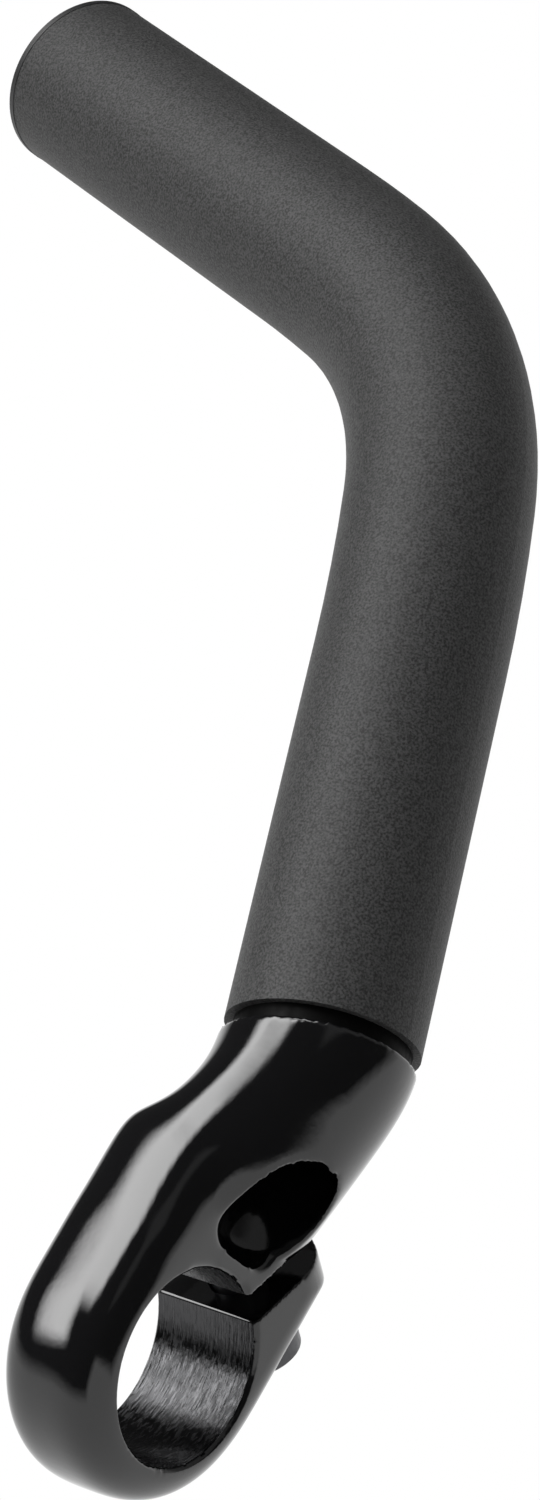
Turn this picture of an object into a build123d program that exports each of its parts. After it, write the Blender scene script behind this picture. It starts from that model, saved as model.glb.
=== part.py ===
"""Bicycle bar end: a forged split clamp, a bent grip tube on its spigot, a clamp screw and an end plug.

Lengths are in millimetres and angles in degrees. The origin is the centre of the clamp's bore.
X is the axis of the handlebar, pointing outboard, and Z is up, the way the arm stands.
The arm lies in the XZ plane. The clamp's slit leaves the bore upwards on the +Y side.
"""

import os
from math import cos, radians, sin, tan

from build123d import *

# Handlebar and the band round it
bar_diameter = 22.2
band_width = 15.0
band_wall = 4.9
band_edge_radius = 4.4
bore_chamfer = 0.3
front_lean = 7.0
back_lean = 7.5
block_rise = 3.4
ledge_height = 23.2
ledge_slope = 39.0

# Slit and its two jaws
slit_angle = 59.0
slit_gap = 3.4
jaw_reach = 26.5
jaw_corner_radius = 7.0
nose_radius = 7.0
upper_jaw_reach = 12.2

# Neck: round under the tube, then a half round outboard and a squarer inboard side down to the band
joint_x = 5.1
joint_z = 38.6
arm_lean = 14.6
neck_radius = 11.2
rim_proud = 0.25
round_drop = 1.5
round_fullness = 0.5523
shoulder_z = 26.5
shoulder_outboard = 14.2
shoulder_side = 2.1
shoulder_inboard = 5.8
shoulder_front = 12.5
shoulder_back = 12.3
shoulder_fullness = 0.62
hip_z = 19.5
hip_outboard = 11.8
hip_side = 0.0
hip_inboard = 7.1
hip_front = 13.3
hip_back = 13.1
hip_fullness = 0.74
root_z = 14.0
root_side_gap = 0.3
root_side = 2.5
root_front = 14.2
root_back = 14.0
root_fullness = 0.8

# Pocket up into the neck, from a mouth in its outboard underside
pocket_x = 9.2
pocket_y = -0.4
pocket_z = 18.6
pocket_radius = 6.1
pocket_sill = 4.9
pocket_sill_radius = 3.0
pocket_depth = 20.0
pocket_end_chamfer = 2.5

# Spigot and the groove under the tube
groove_depth = 0.25
groove_width = 0.95
spigot_length = 22.0
spigot_clearance = 0.05
spigot_chamfer = 0.8

# Arm tube
tube_wall = 1.6
lower_run = 47.4
entry_radius = 210.0
entry_angle = 5.7
bend_radius = 46.0
bend_angle = 46.4
exit_radius = 193.0
exit_angle = 3.4
upper_run = 51.4

# End plug
plug_flange = 1.5
plug_lip = 0.06
plug_shank = 12.0
plug_clearance = 0.05
plug_edge = 0.7
plug_lead = 1.0

# Clamp screw, entered from the back of the lower jaw
screw_radius = 3.0
screw_reach = 16.8
screw_length = 14.0
head_radius = 5.0
head_height = 6.0
head_edge = 0.4
head_proud = 12.6
socket_flats = 5.0
socket_depth = 3.0
tip_chamfer = 1.0
hole_clearance = 0.25
thread_clearance = 0.05
counterbore_clearance = 0.5
tap_depth = 8.0

# Sizes that follow
bar_radius = bar_diameter / 2
band_radius = bar_radius + band_wall
half_width = band_width / 2
tube_inner_radius = neck_radius - tube_wall
spigot_radius = tube_inner_radius - spigot_clearance
arm_direction = Vector(-sin(radians(arm_lean)), 0, cos(radians(arm_lean)))
joint = Vector(joint_x, 0, joint_z)
arm_axis = Axis(joint, arm_direction)
joint_plane = Plane(
    origin=joint,
    x_dir=(cos(radians(arm_lean)), 0, sin(radians(arm_lean))),
    z_dir=arm_direction,
)
slit_plane = Plane(
    origin=(0, 0, 0),
    x_dir=(1, 0, 0),
    z_dir=(0, -sin(radians(slit_angle)), cos(radians(slit_angle))),
)

# Screw axis, square to the slit, with its head under the lower jaw
screw_middle = slit_plane.from_local_coords(Vector(0, screw_reach, 0))
screw_plane = Plane(origin=screw_middle, x_dir=(1, 0, 0), z_dir=slit_plane.z_dir)
head_base = head_height - head_proud

# Outline of the clamp block, seen along the bore
front_tangent = radians(180 - front_lean)
back_tangent = radians(-back_lean)
front_start = (band_radius * cos(front_tangent), band_radius * sin(front_tangent))
back_start = (band_radius * cos(back_tangent), band_radius * sin(back_tangent))
back_slope = tan(radians(back_lean))
slit_cos = cos(radians(slit_angle))
slit_sin = sin(radians(slit_angle))
back_foot = back_start[0] - back_slope * back_start[1]
nose_z = (jaw_reach - back_foot * slit_cos) / (slit_sin + back_slope * slit_cos)
nose_y = back_foot + back_slope * nose_z
notch = (upper_jaw_reach, (jaw_reach - upper_jaw_reach * slit_cos) / slit_sin)
block_top = notch[1] + block_rise
front_top = (front_start[0] + (block_top - front_start[1]) * tan(radians(front_lean)), block_top)

with BuildPart() as clamp_block:
    with BuildSketch(Plane.YZ.offset(-half_width)) as block_outline:
        with BuildLine():
            ThreePointArc(front_start, (0, -band_radius), back_start)
            upper_corner = (upper_jaw_reach, block_top)
            Polyline(back_start, (nose_y, nose_z), notch, upper_corner, front_top, front_start)
        make_face()
        nose_corner = block_outline.vertices().sort_by_distance((-half_width, nose_y, nose_z))[0]
        fillet(nose_corner, radius=jaw_corner_radius)
    extrude(amount=band_width)
    fillet(clamp_block.faces().filter_by(Axis.X).edges(), radius=band_edge_radius)
    # Lower jaw rounded towards its nose
    with BuildSketch(slit_plane) as nose_cut:
        with Locations((0, 2 * jaw_reach)):
            Rectangle(2 * band_width, 4 * jaw_reach)
        with BuildSketch(slit_plane, mode=Mode.SUBTRACT) as nose_plan:
            Rectangle(band_width, 2 * jaw_reach)
            fillet(nose_plan.vertices(), radius=nose_radius)
    extrude(amount=-2 * jaw_reach, mode=Mode.SUBTRACT)
    # Sloping ledge at the inboard top
    with BuildSketch(Plane.XZ.offset(-2 * band_radius)) as ledge_cut:
        with BuildLine():
            ledge_run = (block_top - ledge_height) / tan(radians(ledge_slope))
            Polyline(
                (-half_width, ledge_height),
                (-half_width + ledge_run, block_top),
                (-half_width, block_top),
                close=True,
            )
        make_face()
    extrude(amount=4 * band_radius, mode=Mode.SUBTRACT)


with BuildPart() as neck:
    rim_radius = neck_radius + rim_proud
    round_neck = (rim_radius, 0.0, rim_radius, rim_radius, rim_radius, round_fullness)
    shoulder = (
        shoulder_outboard, shoulder_side, shoulder_inboard, shoulder_front, shoulder_back, shoulder_fullness
    )
    hip = (hip_outboard, hip_side, hip_inboard, hip_front, hip_back, hip_fullness)
    root_reach = half_width - root_side_gap
    root = (root_reach, root_side, root_reach, root_front, root_back, root_fullness)
    for section_plane, section in (
        (joint_plane, round_neck),
        (joint_plane.offset(-round_drop), round_neck),
        (Plane.XY.offset(shoulder_z), shoulder),
        (Plane.XY.offset(hip_z), hip),
        (Plane.XY.offset(root_z), root),
    ):
        with BuildSketch(section_plane):
            outboard, side_start, inboard, front, back, fullness = section
            middle = (back - front) / 2
            with BuildLine():
                ThreePointArc((side_start, -front), (outboard, middle), (side_start, back))
                for side in (back, -front):
                    Bezier(
                        (side_start, side),
                        (side_start - fullness * (side_start + inboard), side),
                        (-inboard, middle + fullness * (side - middle)),
                        (-inboard, middle),
                    )
            make_face()
    loft()

pocket_plane = Plane(origin=(pocket_x, pocket_y, pocket_z), x_dir=(0, 1, 0), z_dir=arm_direction)
with BuildPart() as neck_pocket:
    with BuildSketch(pocket_plane.offset(-pocket_sill)):
        Circle(pocket_radius)
    extrude(amount=pocket_sill + pocket_depth)
    pocket_rims = neck_pocket.edges().filter_by(GeomType.CIRCLE).sort_by(arm_axis)
    fillet(pocket_rims[0], radius=pocket_sill_radius)
    chamfer(neck_pocket.edges().sort_by(arm_axis)[-1], length=pocket_end_chamfer)

# The neck stands on the upper side of the slit only, so the lower jaw stays free of it
with BuildPart() as clamp_body:
    add(neck.part)
    split(bisect_by=slit_plane, keep=Keep.TOP)
    add(clamp_block.part)
    # Collar under the tube and spigot inside it
    with BuildSketch(joint_plane.offset(-groove_width)):
        Circle(neck_radius - groove_depth)
    extrude(amount=2 * groove_width)
    with BuildSketch(joint_plane.offset(groove_width)):
        Circle(spigot_radius)
    extrude(amount=spigot_length)
    spigot_end = clamp_body.faces().filter_by(arm_axis).sort_by(arm_axis)[-1]
    chamfer(spigot_end.edges(), length=spigot_chamfer)
    # Bore with its broken edges
    with BuildSketch(Plane.YZ):
        Circle(bar_radius)
    extrude(amount=band_width, both=True, mode=Mode.SUBTRACT)
    for side_direction in (1, -1):
        with BuildSketch(Plane.YZ.offset(side_direction * (half_width - bore_chamfer))):
            Circle(bar_radius)
        extrude(amount=side_direction * bore_chamfer, taper=-45, mode=Mode.SUBTRACT)
    # Slit, from the bore out past both jaws
    with BuildSketch(slit_plane.offset(-slit_gap / 2)):
        with Locations((0, 2 * jaw_reach)):
            Rectangle(3 * band_width, 4 * jaw_reach)
    extrude(amount=slit_gap, mode=Mode.SUBTRACT)
    # Head pocket, clearance hole and tapped hole for the screw
    with BuildSketch(screw_plane.offset(head_base)):
        Circle(head_radius + counterbore_clearance)
    extrude(amount=-jaw_reach, mode=Mode.SUBTRACT)
    with BuildSketch(screw_plane.offset(head_base)):
        Circle(screw_radius + hole_clearance)
    extrude(amount=-head_base, mode=Mode.SUBTRACT)
    with BuildSketch(screw_plane):
        Circle(screw_radius + thread_clearance)
    extrude(amount=tap_depth, mode=Mode.SUBTRACT)
    add(neck_pocket.part, mode=Mode.SUBTRACT)
clamp_body.part.label = "clamp_body"

# Grip tube: straight, easing into the bend, the bend, easing out, straight
with BuildPart() as arm_tube:
    with BuildLine() as tube_path:
        lower = Line(joint + arm_direction * groove_width, joint + arm_direction * (groove_width + lower_run))
        turn = 0.0
        reached = lower @ 1
        for arc_radius, arc_angle in (
            (entry_radius, entry_angle),
            (bend_radius, bend_angle),
            (exit_radius, exit_angle),
        ):
            start_angle = radians(arm_lean + turn)
            middle_angle = radians(arm_lean + turn + arc_angle / 2)
            end_angle = radians(arm_lean + turn + arc_angle)
            middle = reached + Vector(
                arc_radius * (cos(middle_angle) - cos(start_angle)),
                0,
                arc_radius * (sin(middle_angle) - sin(start_angle)),
            )
            end = reached + Vector(
                arc_radius * (cos(end_angle) - cos(start_angle)),
                0,
                arc_radius * (sin(end_angle) - sin(start_angle)),
            )
            ThreePointArc(reached, middle, end)
            reached = end
            turn += arc_angle
        tip_direction = Vector(-sin(radians(arm_lean + turn)), 0, cos(radians(arm_lean + turn)))
        Line(reached, reached + tip_direction * upper_run)
    tube_end = reached + tip_direction * upper_run
    with BuildSketch(joint_plane.offset(groove_width)):
        Circle(neck_radius)
        Circle(tube_inner_radius, mode=Mode.SUBTRACT)
    sweep(path=tube_path.wires()[0])
arm_tube.part.label = "arm_tube"

tube_end_plane = Plane(origin=tube_end, x_dir=(0, 1, 0), z_dir=tip_direction)

# Push-in plug: a flange over the tube's end and a shank that fills its bore
with BuildPart() as end_plug:
    with BuildSketch(tube_end_plane):
        Circle(neck_radius + plug_lip)
    extrude(amount=plug_flange)
    chamfer(end_plug.edges().sort_by(Axis(tube_end, tip_direction))[-1], length=plug_edge)
    with BuildSketch(tube_end_plane):
        Circle(tube_inner_radius - plug_clearance)
    extrude(amount=-plug_shank)
    chamfer(end_plug.edges().sort_by(Axis(tube_end, tip_direction))[0], length=plug_lead)
end_plug.part.label = "end_plug"

# Socket head cap screw, its head behind the lower jaw and its tip in the neck
with BuildPart() as clamp_screw:
    with BuildSketch(screw_plane.offset(head_base)):
        Circle(head_radius)
    extrude(amount=-head_height)
    chamfer(clamp_screw.edges().group_by(Axis(screw_middle, screw_plane.z_dir))[0], length=head_edge)
    with BuildSketch(screw_plane.offset(head_base)):
        Circle(screw_radius)
    extrude(amount=screw_length)
    chamfer(clamp_screw.edges().group_by(Axis(screw_middle, screw_plane.z_dir))[-1], length=tip_chamfer)
    with BuildSketch(screw_plane.offset(-head_proud)):
        RegularPolygon(socket_flats / 2, 6, major_radius=False)
    extrude(amount=socket_depth, mode=Mode.SUBTRACT)
clamp_screw.part.label = "clamp_screw"

os.makedirs("parts", exist_ok=True)
for piece in (clamp_body, arm_tube, end_plug, clamp_screw):
    export_step(piece.part, f"parts/{piece.part.label}.step")
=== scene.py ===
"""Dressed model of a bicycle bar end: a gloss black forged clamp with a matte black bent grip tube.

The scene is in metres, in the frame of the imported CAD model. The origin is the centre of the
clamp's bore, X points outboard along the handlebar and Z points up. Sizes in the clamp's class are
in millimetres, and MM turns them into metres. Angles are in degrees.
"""

import logging
import math
from collections.abc import Callable
from dataclasses import dataclass
from enum import Enum, IntEnum

import bpy
from mathutils import Matrix, Vector


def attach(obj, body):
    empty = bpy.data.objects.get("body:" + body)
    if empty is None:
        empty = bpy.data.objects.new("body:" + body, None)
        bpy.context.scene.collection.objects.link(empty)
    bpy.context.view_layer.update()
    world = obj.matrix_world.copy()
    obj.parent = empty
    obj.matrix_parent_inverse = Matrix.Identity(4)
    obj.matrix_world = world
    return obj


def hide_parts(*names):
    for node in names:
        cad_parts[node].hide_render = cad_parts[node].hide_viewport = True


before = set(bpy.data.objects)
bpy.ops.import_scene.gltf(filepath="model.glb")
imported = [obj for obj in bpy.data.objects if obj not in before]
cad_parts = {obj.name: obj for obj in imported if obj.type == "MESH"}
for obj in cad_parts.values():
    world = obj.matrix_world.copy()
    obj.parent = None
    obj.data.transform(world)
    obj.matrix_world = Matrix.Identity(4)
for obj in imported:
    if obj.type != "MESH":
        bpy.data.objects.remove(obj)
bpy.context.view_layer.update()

log = logging.getLogger("bar_end")
MM = 0.001
MERGE_GAP = 0.001 * MM
IN_PLANE = 0.01 * MM
WHITE = (1.0, 1.0, 1.0, 1.0)


class Join(Enum):
    """How a tool solid acts on a piece."""

    CUT = "DIFFERENCE"
    ADD = "UNION"


class Cover(IntEnum):
    """The finishes of the forging, in the order of its material slots."""

    PAINT = 0
    WALL = 1
    # The collar's dull black is painted shade for the groove under the tube.
    COLLAR = 2


class NodePlan:
    """Places shader nodes in one tree and links them."""

    def __init__(self, tree: bpy.types.NodeTree) -> None:
        """Keep the tree that nodes are placed in.

        Args:
            tree: The node tree to fill.
        """
        self.tree = tree

    def add(self, kind: str, **settings: object) -> bpy.types.Node:
        """Place a node and set its properties.

        Args:
            kind: The node's bl_idname.
            **settings: Properties to set on it.

        Returns:
            The new node.
        """
        node = self.tree.nodes.new(kind)
        for name, value in settings.items():
            setattr(node, name, value)
        return node

    def feed(self, socket: bpy.types.NodeSocket, value: object) -> None:
        """Link a socket to another, or set its constant.

        Args:
            socket: The input socket.
            value: An output socket, a number or a tuple.
        """
        if isinstance(value, bpy.types.NodeSocket):
            self.tree.links.new(value, socket)
        else:
            socket.default_value = value

    def math(self, operation: str, *values: object) -> bpy.types.NodeSocket:
        """Place a Math node.

        Args:
            operation: The node's operation.
            *values: Sockets or numbers for its inputs.

        Returns:
            The value socket.
        """
        node = self.add("ShaderNodeMath", operation=operation)
        for socket, value in zip(node.inputs, values):
            self.feed(socket, value)
        return node.outputs[0]

    def spread(
        self, value: object, low: object, high: object, start: object, end: object, smooth: bool = False
    ) -> bpy.types.NodeSocket:
        """Map a value from one range to another, held at both ends.

        Args:
            value: The value, as a socket.
            low: Value that gives start, as a socket or a number, as the next three are.
            high: Value that gives end.
            start: Result at low.
            end: Result at high.
            smooth: Whether the result eases in and out.

        Returns:
            The result socket.
        """
        node = self.add("ShaderNodeMapRange", clamp=True)
        node.interpolation_type = "SMOOTHSTEP" if smooth else "LINEAR"
        for socket, number in zip(node.inputs, (value, low, high, start, end)):
            self.feed(socket, number)
        return node.outputs[0]

    def dot(self, vector: bpy.types.NodeSocket, direction: Vector) -> bpy.types.NodeSocket:
        """Measure a vector along a direction.

        Args:
            vector: The vector socket.
            direction: The direction.

        Returns:
            The value socket.
        """
        node = self.add("ShaderNodeVectorMath", operation="DOT_PRODUCT")
        self.feed(node.inputs[0], vector)
        node.inputs[1].default_value = direction
        return node.outputs["Value"]

    def bump(self, height: bpy.types.NodeSocket, depth: float) -> bpy.types.NodeSocket:
        """Turn a height into a normal.

        Args:
            height: The height socket, about 0 to 1.
            depth: Height of 1, in metres.

        Returns:
            The normal socket.
        """
        node = self.add("ShaderNodeBump")
        node.inputs["Distance"].default_value = depth
        self.feed(node.inputs["Height"], height)
        return node.outputs[0]


@dataclass(frozen=True)
class Grain:
    """A pattern of fine spots or lines, which every finish places from one shared node group.

    The group's Grain output is the plain pattern. Its Level output runs between two values while the
    pattern crosses its band, and holds them on either side.
    """

    scale: float
    detail: float = 2.0
    stretch: tuple[float, float, float] = (1.0, 1.0, 1.0)
    band: tuple[float, float] = (0.3, 0.7)

    @staticmethod
    def group() -> bpy.types.ShaderNodeTree:
        """Find the shared node group, or build it the first time.

        Returns:
            The group, with named inputs and outputs.
        """
        name = "fine_grain"
        if name in bpy.data.node_groups:
            return bpy.data.node_groups[name]
        tree = bpy.data.node_groups.new(name, "ShaderNodeTree")
        for socket in ("Place", "Stretch"):
            tree.interface.new_socket(name=socket, in_out="INPUT", socket_type="NodeSocketVector")
        for socket in ("Scale", "Detail", "Low", "High", "Start", "End"):
            tree.interface.new_socket(name=socket, in_out="INPUT", socket_type="NodeSocketFloat")
        for socket in ("Grain", "Level"):
            tree.interface.new_socket(name=socket, in_out="OUTPUT", socket_type="NodeSocketFloat")
        plan = NodePlan(tree)
        given = plan.add("NodeGroupInput").outputs
        stretched = plan.add("ShaderNodeMapping")
        plan.feed(stretched.inputs["Vector"], given["Place"])
        plan.feed(stretched.inputs["Scale"], given["Stretch"])
        noise = plan.add("ShaderNodeTexNoise")
        plan.feed(noise.inputs["Vector"], stretched.outputs[0])
        plan.feed(noise.inputs["Scale"], given["Scale"])
        plan.feed(noise.inputs["Detail"], given["Detail"])
        pattern = noise.outputs["Fac"]
        level = plan.spread(pattern, given["Low"], given["High"], given["Start"], given["End"])
        result = plan.add("NodeGroupOutput").inputs
        plan.feed(result["Grain"], pattern)
        plan.feed(result["Level"], level)
        return tree

    def lay(self, plan: NodePlan, start: float = 0.0, end: float = 1.0) -> bpy.types.Node:
        """Place the group in a material, on the piece's Object coordinates.

        Args:
            plan: The material's node plan.
            start: Level below the band.
            end: Level above the band.

        Returns:
            The group's node, with the outputs Grain and Level.
        """
        node = plan.add("ShaderNodeGroup", node_tree=self.group())
        plan.feed(node.inputs["Place"], plan.add("ShaderNodeTexCoord").outputs["Object"])
        low, high = self.band
        values = {"Stretch": self.stretch, "Scale": self.scale, "Detail": self.detail}
        values |= {"Low": low, "High": high, "Start": start, "End": end}
        for name, value in values.items():
            node.inputs[name].default_value = value
        return node


@dataclass(frozen=True)
class Finish:
    """A finish in plain numbers, which dress() turns into a material."""

    name: str = "finish"
    colour: tuple[float, float, float] = (0.02, 0.02, 0.02)
    roughness: float = 0.5
    metallic: float = 0.0

    def start(self) -> tuple[bpy.types.Material, NodePlan, bpy.types.Node]:
        """Make the material with its shader.

        Returns:
            The material, a plan for its nodes, and the Principled BSDF.
        """
        material = bpy.data.materials.new(self.name)
        material.use_nodes = True
        shader = material.node_tree.nodes["Principled BSDF"]
        shader.inputs["Base Color"].default_value = (*self.colour, 1.0)
        shader.inputs["Roughness"].default_value = self.roughness
        shader.inputs["Metallic"].default_value = self.metallic
        return material, NodePlan(material.node_tree), shader

    def dress(self) -> bpy.types.Material:
        """Build the plain finish."""
        return self.start()[0]


@dataclass(frozen=True)
class GlossPaint(Finish):
    """Gloss black paint with orange peel, slow waves and faint smudges."""

    name: str = "clamp_gloss_paint"
    colour: tuple[float, float, float] = (0.005, 0.005, 0.0055)
    roughness: float = 0.05
    smudge_roughness: float = 0.12
    smudges: Grain = Grain(160.0, detail=4.0, band=(0.4, 0.7))
    peel: Grain = Grain(1400.0)
    peel_depth: float = 0.000006
    waves: Grain = Grain(220.0, detail=1.0)
    wave_depth: float = 0.00002
    coat: float = 0.3
    coat_roughness: float = 0.03

    def dress(self) -> bpy.types.Material:
        """Build the paint.

        Returns:
            The material.
        """
        material, plan, shader = self.start()
        peel = plan.math("MULTIPLY", self.peel.lay(plan).outputs["Grain"], self.peel_depth / self.wave_depth)
        height = plan.math("ADD", peel, self.waves.lay(plan).outputs["Grain"])
        plan.feed(shader.inputs["Normal"], plan.bump(height, self.wave_depth))
        smudges = self.smudges.lay(plan, self.roughness, self.smudge_roughness)
        plan.feed(shader.inputs["Roughness"], smudges.outputs["Level"])
        shader.inputs["Coat Weight"].default_value = self.coat
        shader.inputs["Coat Roughness"].default_value = self.coat_roughness
        return material


@dataclass(frozen=True)
class TurnedWall(Finish):
    """The bore's blackened wall, with fine turning lines round it and short tears between them."""

    name: str = "clamp_turned_bore"
    colour: tuple[float, float, float] = (0.06, 0.06, 0.062)
    roughness: float = 0.2
    metallic: float = 1.0
    lines: Grain = Grain(5200.0, detail=3.0, stretch=(1.0, 0.02, 0.02))
    tears: Grain = Grain(2600.0, stretch=(1.0, 0.3, 0.3), band=(0.38, 0.62))
    line_depth: float = 0.00005
    smoothest: float = 0.06
    roughest: float = 0.34

    def dress(self) -> bpy.types.Material:
        """Build the turned wall.

        Returns:
            The material.
        """
        material, plan, shader = self.start()
        tears = self.tears.lay(plan, self.smoothest, self.roughest)
        height = plan.math("ADD", self.lines.lay(plan).outputs["Grain"], tears.outputs["Grain"])
        plan.feed(shader.inputs["Normal"], plan.bump(height, self.line_depth))
        plan.feed(shader.inputs["Roughness"], tears.outputs["Level"])
        return material


@dataclass(frozen=True)
class DullCollarPaintedShade(Finish):
    """Dull black of the collar and spigot, in place of the gloss paint: darker, with little reflection, as
    painted shade that keeps the groove under the tube black.
    """

    name: str = "clamp_collar_painted_shade"
    # Darker than the gloss paint and barely reflecting: painted shade in the groove.
    colour: tuple[float, float, float] = (0.002, 0.002, 0.002)
    roughness: float = 0.5
    roughness_swing: float = 0.1
    specular: float = 0.06
    patches: Grain = Grain(900.0, detail=3.0)

    def dress(self) -> bpy.types.Material:
        """Build the dull black, the groove's painted shade.

        Returns:
            The material.
        """
        material, plan, shader = self.start()
        shader.inputs["Specular IOR Level"].default_value = self.specular
        smoothest, roughest = self.roughness - self.roughness_swing, self.roughness + self.roughness_swing
        plan.feed(shader.inputs["Roughness"], self.patches.lay(plan, smoothest, roughest).outputs["Level"])
        return material


@dataclass(frozen=True)
class BlastedAnodise(Finish):
    """Matte black anodised aluminium with a fine bead-blasted grain, pale on its high spots."""

    name: str = "tube_blasted_anodise"
    colour: tuple[float, float, float] = (0.05, 0.05, 0.05)
    roughness: float = 0.55
    specular: float = 0.27
    grain: Grain = Grain(3600.0, band=(0.35, 0.65))
    coarse: Grain = Grain(1800.0)
    coarse_share: float = 0.4
    grain_depth: float = 0.00005
    low_spots: float = 0.5
    high_spots: float = 1.7

    def dress(self) -> bpy.types.Material:
        """Build the anodised finish.

        Returns:
            The material.
        """
        material, plan, shader = self.start()
        shader.inputs["Specular IOR Level"].default_value = self.specular
        grey = self.colour[0]
        grain = self.grain.lay(plan, grey * self.low_spots, grey * self.high_spots)
        coarse = plan.math("MULTIPLY", self.coarse.lay(plan).outputs["Grain"], self.coarse_share)
        height = plan.math("ADD", grain.outputs["Grain"], coarse)
        plan.feed(shader.inputs["Normal"], plan.bump(height, self.grain_depth))
        plan.feed(shader.inputs["Base Color"], grain.outputs["Level"])
        return material


@dataclass(frozen=True)
class DarkSteel(Finish):
    """Blackened steel of the clamp screw."""

    name: str = "screw_black_steel"
    colour: tuple[float, float, float] = (0.09, 0.09, 0.095)
    roughness: float = 0.35
    metallic: float = 0.8
    patches: Grain = Grain(1500.0, detail=3.0)
    smoothest: float = 0.28
    roughest: float = 0.45

    def dress(self) -> bpy.types.Material:
        """Build the steel.

        Returns:
            The material.
        """
        material, plan, shader = self.start()
        patches = self.patches.lay(plan, self.smoothest, self.roughest)
        plan.feed(shader.inputs["Roughness"], patches.outputs["Level"])
        return material


@dataclass(frozen=True)
class PlugPlastic(Finish):
    """Moulded matte black plastic of the end plug."""

    name: str = "plug_black_plastic"
    colour: tuple[float, float, float] = (0.02, 0.02, 0.021)
    roughness: float = 0.45
    pits: Grain = Grain(1800.0)
    pit_depth: float = 0.00002

    def dress(self) -> bpy.types.Material:
        """Build the plastic.

        Returns:
            The material.
        """
        material, plan, shader = self.start()
        pits = self.pits.lay(plan).outputs["Grain"]
        plan.feed(shader.inputs["Normal"], plan.bump(pits, self.pit_depth))
        return material


def smooth_step(value: float, low: float, high: float) -> float:
    """Ease from 0 at low to 1 at high.

    Args:
        value: The value to place.
        low: Where the result is 0.
        high: Where the result is 1.

    Returns:
        A number from 0 to 1.
    """
    share = min(1.0, max(0.0, (value - low) / (high - low)))
    return share * share * (3.0 - 2.0 * share)


def beyond(value: float, edge: float, reach: tuple[float, float]) -> float:
    """Ease from 0 to 1 between two distances past an edge.

    Args:
        value: The value to place.
        edge: The edge that both distances are measured from.
        reach: The distance where the result is 0, and the one where it is 1.

    Returns:
        A number from 0 to 1.
    """
    return smooth_step(value, edge + reach[0], edge + reach[1])


def choose_only(piece: bpy.types.Object) -> None:
    """Select one object and make it active.

    Args:
        piece: The object.
    """
    bpy.ops.object.select_all(action="DESELECT")
    piece.select_set(True)
    bpy.context.view_layer.objects.active = piece


def settle(piece: bpy.types.Object) -> None:
    """Put an object's place into its mesh, so that the object sits at the origin."""
    choose_only(piece)
    bpy.ops.object.transform_apply(location=True, rotation=True, scale=True)


def add_rod(name: str, start: Vector, end: Vector, radius: float, sides: int = 96) -> bpy.types.Object:
    """Add a round rod between two points.

    Args:
        name: The object's name.
        start: One end, in metres.
        end: The other end, in metres.
        radius: Radius in metres.
        sides: Faces round it.

    Returns:
        The rod.
    """
    bpy.ops.object.select_all(action="DESELECT")
    line = end - start
    bpy.ops.mesh.primitive_cylinder_add(
        vertices=sides,
        radius=radius,
        depth=line.length,
        location=(start + end) / 2,
        rotation=line.to_track_quat("Z", "Y").to_euler(),
    )
    rod = bpy.context.active_object
    rod.name = name
    settle(rod)
    return rod


def chamfer_rim(rod: bpy.types.Object, place: Vector, axis: Vector, width: float) -> None:
    """Chamfer the rim of a rod's end.

    Args:
        rod: The rod.
        place: A point in the end's plane.
        axis: The rod's direction.
        width: Width of the chamfer in metres.
    """
    choose_only(rod)
    bpy.ops.object.mode_set(mode="EDIT")
    bpy.ops.mesh.select_all(action="DESELECT")
    bpy.ops.object.mode_set(mode="OBJECT")
    for vertex in rod.data.vertices:
        vertex.select = abs((vertex.co - place).dot(axis)) < IN_PLANE
    for edge in rod.data.edges:
        edge.select = all(rod.data.vertices[index].select for index in edge.vertices)
    bpy.ops.object.mode_set(mode="EDIT")
    bpy.ops.mesh.bevel(offset=width, segments=1, affect="EDGES")
    bpy.ops.object.mode_set(mode="OBJECT")


def apply_modifier(piece: bpy.types.Object, kind: str, **settings: object) -> None:
    """Add a modifier, set it and apply it.

    Args:
        piece: The object.
        kind: The modifier's type.
        **settings: Properties to set on it.
    """
    choose_only(piece)
    modifier = piece.modifiers.new(kind.lower(), kind)
    for name, value in settings.items():
        setattr(modifier, name, value)
    bpy.ops.object.modifier_apply(modifier=modifier.name)


def work_solid(piece: bpy.types.Object, tool: bpy.types.Object, how: Join) -> None:
    """Cut a tool solid out of a piece, or add it, and remove the tool.

    Args:
        piece: The object that changes.
        tool: The tool solid.
        how: Cut or add.
    """
    apply_modifier(piece, "BOOLEAN", object=tool, operation=how.value, solver="MANIFOLD")
    bpy.data.objects.remove(tool)


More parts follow.
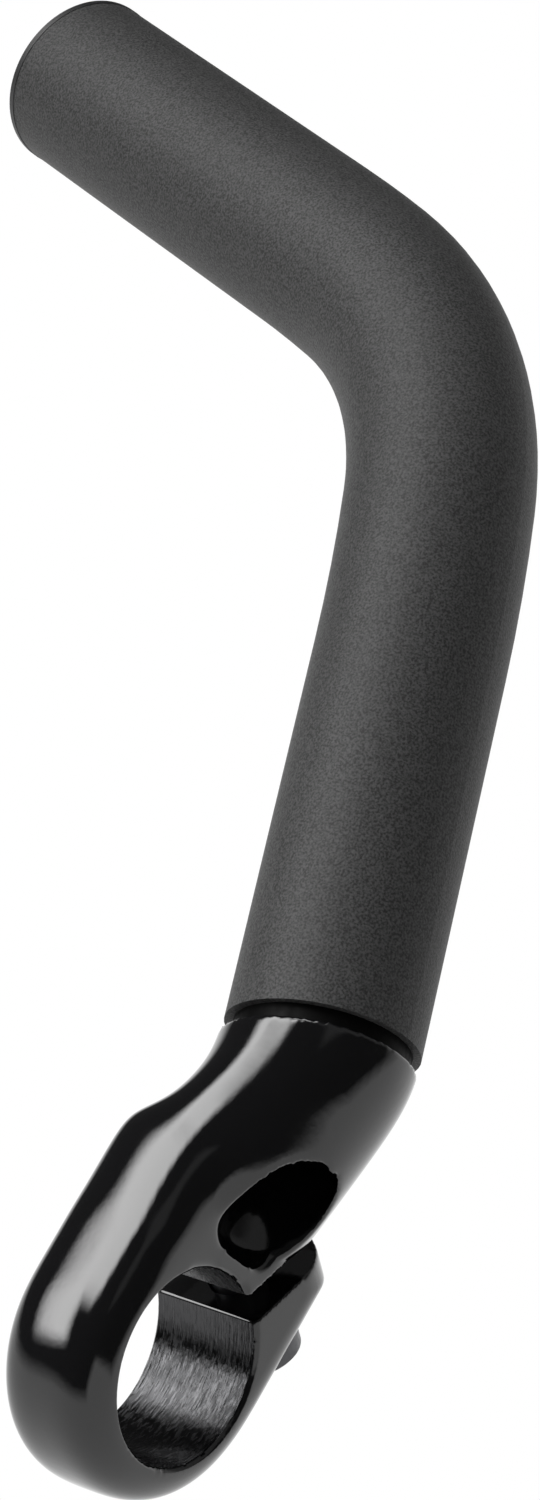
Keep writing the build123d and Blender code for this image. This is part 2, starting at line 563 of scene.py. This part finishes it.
@dataclass
class ClampForging:
    """The forged clamp: band, jaws and neck as one skin, its edges eased as a forging's are.

    The CAD solid gives the form. The skin is smoothed until the band is crowned and the neck runs into
    the block in one sweep, and the holes, slit and spigot are then cut or added at full sharpness.
    """

    node: str = "clamp_body"
    body: str = "bar_end"
    slot: str = "clamp_paint"

    # Band, slit and jaws
    bore_radius: float = 11.1
    rim_chamfer: float = 0.45
    band_width: float = 15.0
    slit_angle: float = 59.0
    slit_gap: float = 3.4
    slit_over: float = 0.2
    jaw_reach: float = 26.5

    # Neck's top, groove and spigot, on the arm's axis
    joint: tuple[float, float, float] = (5.1, 0.0, 38.6)
    arm_lean: float = 14.6
    rim_radius: float = 11.45
    rim_stub: float = 6.0
    groove_radius: float = 10.2
    groove_width: float = 0.95
    spigot_radius: float = 9.55
    spigot_length: float = 22.0
    spigot_chamfer: float = 0.8

    # The pocket up the neck
    pocket_start: tuple[float, float, float] = (9.2, -0.4, 18.6)
    pocket_radius: float = 6.1

    # The clamp screw's holes, measured from the slit's middle
    screw_reach: float = 16.8
    head_base: float = -6.6
    head_overcut: float = 0.1
    counterbore_radius: float = 5.5
    hole_radius: float = 3.25
    tap_radius: float = 3.05
    tap_depth: float = 8.0

    # The skin: its grid, its rounds of smoothing, and how much larger than the solid's a cut is
    grid: float = 0.3
    crown_rounds: int = 240
    blend_rounds: int = 420
    rim_rounds: int = 30
    edge_rounds: int = 5
    pull: float = 0.5
    cut_over: float = 0.03
    bore_sides: int = 192
    collar_sides: int = 128
    crease_angle: float = 50.0
    face_weight: int = 100

    # Where smoothing is none, and where it is full: distances past an edge, or places on an axis
    past_bore: tuple[float, float] = (0.8, 3.0)
    past_slit: tuple[float, float] = (0.8, 4.0)
    past_pocket: tuple[float, float] = (0.4, 2.5)
    along_jaw: tuple[float, float] = (9.0, 2.0)
    round_rim: tuple[float, float] = (2.0, 1.0)
    rim_past_slit: tuple[float, float] = (0.8, 2.0)
    blend_height: tuple[float, float] = (9.0, 15.0)
    blend_side: tuple[float, float] = (-7.5, -4.0)

    # In widths of the groove: where the stub starts under the joint, and where the collar's finish does
    stub_overlap: float = 1.05
    collar_overlap: float = 1.02
    wall_facing: float = 0.9

    def __post_init__(self) -> None:
        """Work out the directions that the sizes are measured along."""
        lean = math.radians(self.arm_lean)
        angle = math.radians(self.slit_angle)
        self.arm = Vector((-math.sin(lean), 0.0, math.cos(lean)))
        self.slit_out = Vector((0.0, math.cos(angle), math.sin(angle)))
        self.slit_up = Vector((0.0, -math.sin(angle), math.cos(angle)))
        self.wall_radius = self.bore_radius + self.cut_over

    def along_arm(self, height: float) -> Vector:
        """Return the point at a height over the joint, on the arm's axis, in metres."""
        return (Vector(self.joint) + self.arm * height) * MM

    def on_screw(self, height: float) -> Vector:
        """Return the point at a height over the slit's middle, on the screw's axis, in metres."""
        return (self.slit_out * self.screw_reach + self.slit_up * height) * MM

    def off_pocket(self, place: Vector) -> float:
        """Return a point's distance from the pocket's axis, in millimetres."""
        offset = place - Vector(self.pocket_start)
        return (offset - self.arm * offset.dot(self.arm)).length

    def free_share(self, place: Vector) -> float:
        """Say how freely the skin may move at a point.

        Args:
            place: The point in millimetres.

        Returns:
            0 at the bore, slit and pocket, 1 away from them.
        """
        share = beyond(math.hypot(place.y, place.z), self.bore_radius, self.past_bore)
        over_slit, outwards = place.dot(self.slit_up), place.dot(self.slit_out)
        if outwards > 0.0:
            share *= beyond(abs(over_slit), self.slit_gap / 2, self.past_slit)
        if over_slit < 0.0:
            fixed, free = self.along_jaw
            share *= smooth_step(-outwards, -fixed, -free)
        return share * beyond(self.off_pocket(place), self.pocket_radius, self.past_pocket)

    def rim_share(self, place: Vector) -> float:
        """Say how strongly the pocket's rim is eased at a point.

        Args:
            place: The point in millimetres.

        Returns:
            1 at the rim, 0 away from it and near the slit.
        """
        fixed, free = self.round_rim
        share = smooth_step(-abs(self.off_pocket(place) - self.pocket_radius), -fixed, -free)
        return share * beyond(place.dot(self.slit_up), self.slit_gap / 2, self.rim_past_slit)

    def blend_share(self, place: Vector) -> float:
        """Say how strongly the neck is eased into the block at a point.

        Args:
            place: The point in millimetres.

        Returns:
            1 up the neck and outboard, 0 at the band and the holes.
        """
        share = smooth_step(place.z, *self.blend_height) * smooth_step(place.x, *self.blend_side)
        return share * self.free_share(place)

    def ease_by(
        self, skin: bpy.types.Object, name: str, share_at: Callable[[Vector], float], rounds: int
    ) -> None:
        """Smooth the skin, each point by its own share.

        Args:
            skin: The skin.
            name: Name of the vertex group that keeps the shares.
            share_at: Gives the share for a point in millimetres.
            rounds: Rounds of smoothing.
        """
        group = skin.vertex_groups.new(name=name)
        for vertex in skin.data.vertices:
            share = share_at(vertex.co / MM)
            if share > 0.0:
                group.add([vertex.index], share, "REPLACE")
        apply_modifier(skin, "SMOOTH", factor=self.pull, iterations=rounds, vertex_group=group.name)
        skin.vertex_groups.remove(skin.vertex_groups[name])

    def take_form(self) -> bpy.types.Object:
        """Copy the CAD solid up to the joint and turn it into an even skin.

        Returns:
            The skin.
        """
        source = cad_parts[self.node]
        skin = bpy.data.objects.new("clamp_forging", source.data.copy())
        bpy.context.scene.collection.objects.link(skin)
        skin.data.transform(source.matrix_world)
        choose_only(skin)
        bpy.ops.object.mode_set(mode="EDIT")
        bpy.ops.mesh.select_all(action="SELECT")
        bpy.ops.mesh.remove_doubles(threshold=MERGE_GAP)
        bpy.ops.mesh.customdata_custom_splitnormals_clear()
        bpy.ops.object.mode_set(mode="OBJECT")
        self.trim_top(skin)
        start, end = self.along_arm(-self.stub_overlap * self.groove_width), self.along_arm(self.rim_stub)
        stub = add_rod("rim_stub", start, end, self.rim_radius * MM, self.collar_sides)
        work_solid(skin, stub, Join.ADD)
        self.even_out(skin)
        return skin

    def even_out(self, skin: bpy.types.Object) -> None:
        """Rebuild the skin with faces of one size."""
        apply_modifier(skin, "REMESH", mode="VOXEL", voxel_size=self.grid * MM)

    def trim_top(self, skin: bpy.types.Object) -> None:
        """Cut the skin flat under the groove.

        Args:
            skin: The skin.
        """
        start = self.along_arm(-self.groove_width)
        end = self.along_arm(self.spigot_length + self.jaw_reach)
        work_solid(skin, add_rod("top_cut", start, end, 2 * self.groove_radius * MM), Join.CUT)

    def ease(self, skin: bpy.types.Object) -> None:
        """Crown the band, blend the neck into the block, and round every edge slightly.

        Args:
            skin: The skin.
        """
        self.ease_by(skin, "crown", self.free_share, self.crown_rounds)
        self.ease_by(skin, "blend", self.blend_share, self.blend_rounds)
        self.ease_by(skin, "rim", self.rim_share, self.rim_rounds)
        self.trim_top(skin)
        self.even_out(skin)
        apply_modifier(skin, "SMOOTH", factor=self.pull, iterations=self.edge_rounds)

    def cut_holes(self, skin: bpy.types.Object) -> None:
        """Cut the bore, its chamfers, the slit and the screw's holes to size again.

        Args:
            skin: The skin.
        """
        across = Vector((self.band_width, 0.0, 0.0)) * MM
        bore = add_rod("bore_cut", -across, across, self.wall_radius * MM, self.bore_sides)
        work_solid(skin, bore, Join.CUT)
        for side in (-1.0, 1.0):
            work_solid(skin, self.chamfer_tool(side), Join.CUT)
        work_solid(skin, self.slit_tool(), Join.CUT)
        for start, end, radius in (
            (self.head_base, -self.jaw_reach, self.counterbore_radius),
            (0.0, self.head_base - self.head_overcut, self.hole_radius),
            (0.0, self.tap_depth, self.tap_radius),
        ):
            cut_radius = (radius + self.cut_over) * MM
            tool = add_rod("screw_cut", self.on_screw(start), self.on_screw(end), cut_radius)
            work_solid(skin, tool, Join.CUT)

    def chamfer_tool(self, side: float) -> bpy.types.Object:
        """Make the cone that chamfers one rim of the bore.

        Args:
            side: 1 for the outboard rim, -1 for the inboard rim.

        Returns:
            The cone.
        """
        bpy.ops.object.select_all(action="DESELECT")
        bpy.ops.mesh.primitive_cone_add(
            vertices=self.bore_sides,
            radius1=(self.wall_radius - self.rim_chamfer) * MM,
            radius2=(self.wall_radius + self.rim_chamfer) * MM,
            depth=2 * self.rim_chamfer * MM,
            location=(side * (self.band_width / 2 - self.rim_chamfer) * MM, 0.0, 0.0),
            rotation=(0.0, side * math.pi / 2, 0.0),
        )
        cone = bpy.context.active_object
        cone.name = "rim_cut"
        settle(cone)
        return cone

    def slit_tool(self) -> bpy.types.Object:
        """Make the slab that cuts the slit.

        Returns:
            The slab.
        """
        bpy.ops.object.select_all(action="DESELECT")
        bpy.ops.mesh.primitive_cube_add(size=1.0)
        slab = bpy.context.active_object
        slab.name = "slit_cut"
        slab_size = Vector((3 * self.band_width, 2 * self.jaw_reach, self.slit_gap + self.slit_over))
        slab.scale = slab_size * MM
        slab.rotation_euler = (math.radians(self.slit_angle), 0.0, 0.0)
        slab.location = self.slit_out * self.jaw_reach * MM
        settle(slab)
        return slab

    def add_spigot(self, skin: bpy.types.Object) -> None:
        """Add the groove's floor and the spigot that the tube is pressed on.

        Args:
            skin: The skin.
        """
        start, end = self.along_arm(-2 * self.groove_width), self.along_arm(self.groove_width)
        collar = add_rod("collar", start, end, self.groove_radius * MM, self.collar_sides)
        work_solid(skin, collar, Join.ADD)
        end = self.along_arm(self.groove_width + self.spigot_length)
        spigot = add_rod("spigot", self.along_arm(0.0), end, self.spigot_radius * MM, self.collar_sides)
        chamfer_rim(spigot, end, self.arm, self.spigot_chamfer * MM)
        work_solid(skin, spigot, Join.ADD)

    def paint(self, skin: bpy.types.Object) -> None:
        """Paint the skin, and give the bore's wall and the collar finishes of their own; the collar's dull
        black is painted shade for the groove.

        Args:
            skin: The skin.
        """
        finishes = {Cover.PAINT: GlossPaint(), Cover.WALL: TurnedWall(), Cover.COLLAR: DullCollarPaintedShade()}
        skin.data.materials.clear()
        for cover in Cover:
            skin.data.materials.append(finishes[cover].dress())
        for face in skin.data.polygons:
            radial = Vector((0.0, face.center.y, face.center.z))
            on_wall = abs(radial.length - self.wall_radius * MM) < self.cut_over * MM
            over_joint = (face.center / MM - Vector(self.joint)).dot(self.arm)
            if on_wall and face.normal.dot(radial.normalized()) < -self.wall_facing:
                face.material_index = Cover.WALL
            # Faces from just under the groove upward take the collar's painted shade.
            elif over_joint > -self.collar_overlap * self.groove_width:
                face.material_index = Cover.COLLAR
            else:
                face.material_index = Cover.PAINT

    def build(self) -> bpy.types.Object:
        """Make the forging and set it in place of the CAD node.

        Returns:
            The finished skin.
        """
        skin = self.take_form()
        self.ease(skin)
        self.cut_holes(skin)
        self.add_spigot(skin)
        self.paint(skin)
        choose_only(skin)
        bpy.ops.object.shade_smooth_by_angle(angle=math.radians(self.crease_angle))
        apply_modifier(skin, "WEIGHTED_NORMAL", weight=self.face_weight, keep_sharp=True)
        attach(skin, self.body)
        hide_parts(self.node)
        log.info("clamp forging: %d faces", len(skin.data.polygons))
        return skin


@dataclass
class PlainPiece:
    """A piece that shows its CAD node in a finish of its own."""

    node: str
    finish: Finish

    def build(self) -> None:
        """Put the finish on every material slot of the node."""
        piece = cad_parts[self.node]
        material = self.finish.dress()
        if not piece.material_slots:
            piece.data.materials.append(material)
        for place in piece.material_slots:
            place.material = material
        log.info("%s: %s", self.node, self.finish.name)


@dataclass(frozen=True)
class Panel:
    """A softbox far off, as the world shows it: a soft-edged rectangle round one direction."""

    azimuth: float
    height: float
    half_width: float
    half_height: float
    softness: float
    end_softness: float
    strength: float
    front_fade: float = 0.05

    def glow(self, plan: NodePlan, direction: bpy.types.NodeSocket) -> bpy.types.NodeSocket:
        """Give the panel's light in a direction.

        Args:
            plan: The world's node plan.
            direction: The direction socket.

        Returns:
            The strength socket.
        """
        turn, rise = math.radians(self.azimuth), math.radians(self.height)
        flat = Vector((math.cos(turn), math.sin(turn), 0.0))
        centre = flat * math.cos(rise) + Vector((0.0, 0.0, math.sin(rise)))
        side = Vector((-math.sin(turn), math.cos(turn), 0.0))
        up = centre.cross(side)
        light = plan.spread(plan.dot(direction, centre), 0.0, self.front_fade, 0.0, self.strength)
        edges = ((side, self.half_width, self.softness), (up, self.half_height, self.end_softness))
        for axis, half, softness in edges:
            offset = plan.math("ABSOLUTE", plan.dot(direction, axis))
            inner = math.sin(math.radians(max(0.0, half - softness)))
            outer = math.sin(math.radians(half + softness))
            share = plan.spread(offset, inner, outer, 1.0, 0.0, smooth=True)
            light = plan.math("MULTIPLY", light, share)
        return light


@dataclass(frozen=True)
class WhiteSide:
    """A white side of the surround, all round one direction."""

    direction: tuple[float, float, float]
    dark_below: float
    white_above: float

    def glow(self, plan: NodePlan, direction: bpy.types.NodeSocket) -> bpy.types.NodeSocket:
        """Give the side's light in a direction.

        Args:
            plan: The world's node plan.
            direction: The direction socket.

        Returns:
            The strength socket.
        """
        reach = plan.dot(direction, Vector(self.direction))
        return plan.spread(reach, self.dark_below, self.white_above, 0.0, 1.0)


@dataclass
class Studio:
    """The photograph's camera, a pale floor, and a world of white sides and soft panels."""

    camera_place: tuple[float, float, float] = (0.343817, -0.426353, -0.073480)
    camera_right: tuple[float, float, float] = (0.755653, 0.503336, 0.419095)
    camera_up: tuple[float, float, float] = (-0.182956, -0.452186, 0.872958)
    lens: float = 120.422
    sensor_width: float = 36.0
    near_clip: float = 0.01
    far_clip: float = 50.0
    floor_height: float = -0.16
    floor_size: float = 3.0
    floor_corner: tuple[float, float] = (-1.2, -0.3)
    floor_grey: float = 0.82
    floor_roughness: float = 0.9
    floor_glow: float = 0.55
    dark_level: float = 0.05

    # White: the table behind, the wall behind, and what is both low and on the right
    table_side: WhiteSide = WhiteSide((-0.129, 0.732, -0.669), -0.01, 0.2)
    back_side: WhiteSide = WhiteSide((0.101, 0.990, 0.101), 0.5, 0.8)
    low_side: WhiteSide = WhiteSide((-0.134, 0.278, -0.951), -0.02, 0.08)
    right_side: WhiteSide = WhiteSide((0.883, 0.321, -0.342), 0.55, 0.7)

    # Panels that give the band's highlight, the neck's, the one at its rim, and a faint light above
    panels: tuple[Panel, ...] = (
        Panel(-126.5, 9.0, half_width=7.0, half_height=26.0, softness=5.5, end_softness=7.0, strength=8.0),
        Panel(-114.5, 23.0, half_width=18.0, half_height=12.0, softness=6.5, end_softness=9.0, strength=8.0),
        Panel(-103.0, 46.0, half_width=18.0, half_height=5.0, softness=3.0, end_softness=3.0, strength=5.0),
        Panel(10.0, 52.0, half_width=60.0, half_height=18.0, softness=6.0, end_softness=6.0, strength=0.25),
    )

    def build(self) -> None:
        """Set the view transform, and place the camera, the floor and the world."""
        bpy.context.scene.view_settings.view_transform = "Standard"
        self.place_camera()
        self.lay_floor()
        self.light_world()
        log.info("studio: %d panels", len(self.panels))

    def place_camera(self) -> None:
        """Set the camera to the photograph's place and direction."""
        data = bpy.data.cameras.new("camera")
        camera = bpy.data.objects.new("camera", data)
        bpy.context.scene.collection.objects.link(camera)
        right = Vector(self.camera_right).normalized()
        up = Vector(self.camera_up).normalized()
        turn = Matrix((right, up, right.cross(up))).transposed().to_4x4()
        camera.matrix_world = Matrix.Translation(self.camera_place) @ turn
        data.sensor_width = self.sensor_width
        data.lens = self.lens
        data.clip_start = self.near_clip
        data.clip_end = self.far_clip
        bpy.context.scene.camera = camera

    def lay_floor(self) -> None:
        """Lay a plain pale floor. Reflections look through it to the white table side of the world."""
        bpy.ops.object.select_all(action="DESELECT")
        middle = [edge + self.floor_size / 2 for edge in self.floor_corner]
        bpy.ops.mesh.primitive_plane_add(size=self.floor_size, location=(*middle, self.floor_height))
        floor = bpy.context.active_object
        floor.name = "floor"
        grey = (self.floor_grey, self.floor_grey, self.floor_grey)
        material, plan, shader = Finish("pale_floor", grey, self.floor_roughness).start()
        shader.inputs["Emission Color"].default_value = WHITE
        path = plan.add("ShaderNodeLightPath")
        glow = plan.math("MULTIPLY", path.outputs["Is Camera Ray"], self.floor_glow)
        plan.feed(shader.inputs["Emission Strength"], glow)
        mix = plan.add("ShaderNodeMixShader")
        plan.feed(mix.inputs[0], path.outputs["Is Glossy Ray"])
        plan.feed(mix.inputs[1], shader.outputs[0])
        plan.feed(mix.inputs[2], plan.add("ShaderNodeBsdfTransparent").outputs[0])
        plan.feed(material.node_tree.nodes["Material Output"].inputs["Surface"], mix.outputs[0])
        floor.data.materials.append(material)

    def light_world(self) -> None:
        """Give a white backdrop, and a surround that is white behind the part and dark in front."""
        world = bpy.data.worlds.new("studio")
        bpy.context.scene.world = world
        world.use_nodes = True
        plan = NodePlan(world.node_tree)
        direction = plan.add("ShaderNodeTexCoord").outputs["Generated"]
        low, right = self.low_side.glow(plan, direction), self.right_side.glow(plan, direction)
        parts = [self.table_side.glow(plan, direction), self.back_side.glow(plan, direction)]
        parts.append(plan.math("MULTIPLY", low, right))
        parts += [panel.glow(plan, direction) for panel in self.panels]
        light = self.dark_level
        for part in parts:
            light = plan.math("MAXIMUM", light, part)
        seen = plan.add("ShaderNodeLightPath").outputs["Is Camera Ray"]
        dimmed = plan.math("MULTIPLY", light, plan.math("SUBTRACT", 1.0, seen))
        background = world.node_tree.nodes["Background"]
        background.inputs["Color"].default_value = WHITE
        plan.feed(background.inputs["Strength"], plan.math("ADD", dimmed, seen))


def main() -> None:
    """Build the studio and the bar end's pieces in order."""
    logging.basicConfig(level=logging.INFO, format="%(name)s: %(message)s")
    bpy.ops.object.select_all(action="DESELECT")
    Studio().build()
    ClampForging().build()
    PlainPiece("arm_tube", BlastedAnodise()).build()
    PlainPiece("end_plug", PlugPlastic()).build()
    PlainPiece("clamp_screw", DarkSteel()).build()


if __name__ == "__main__":
    main()
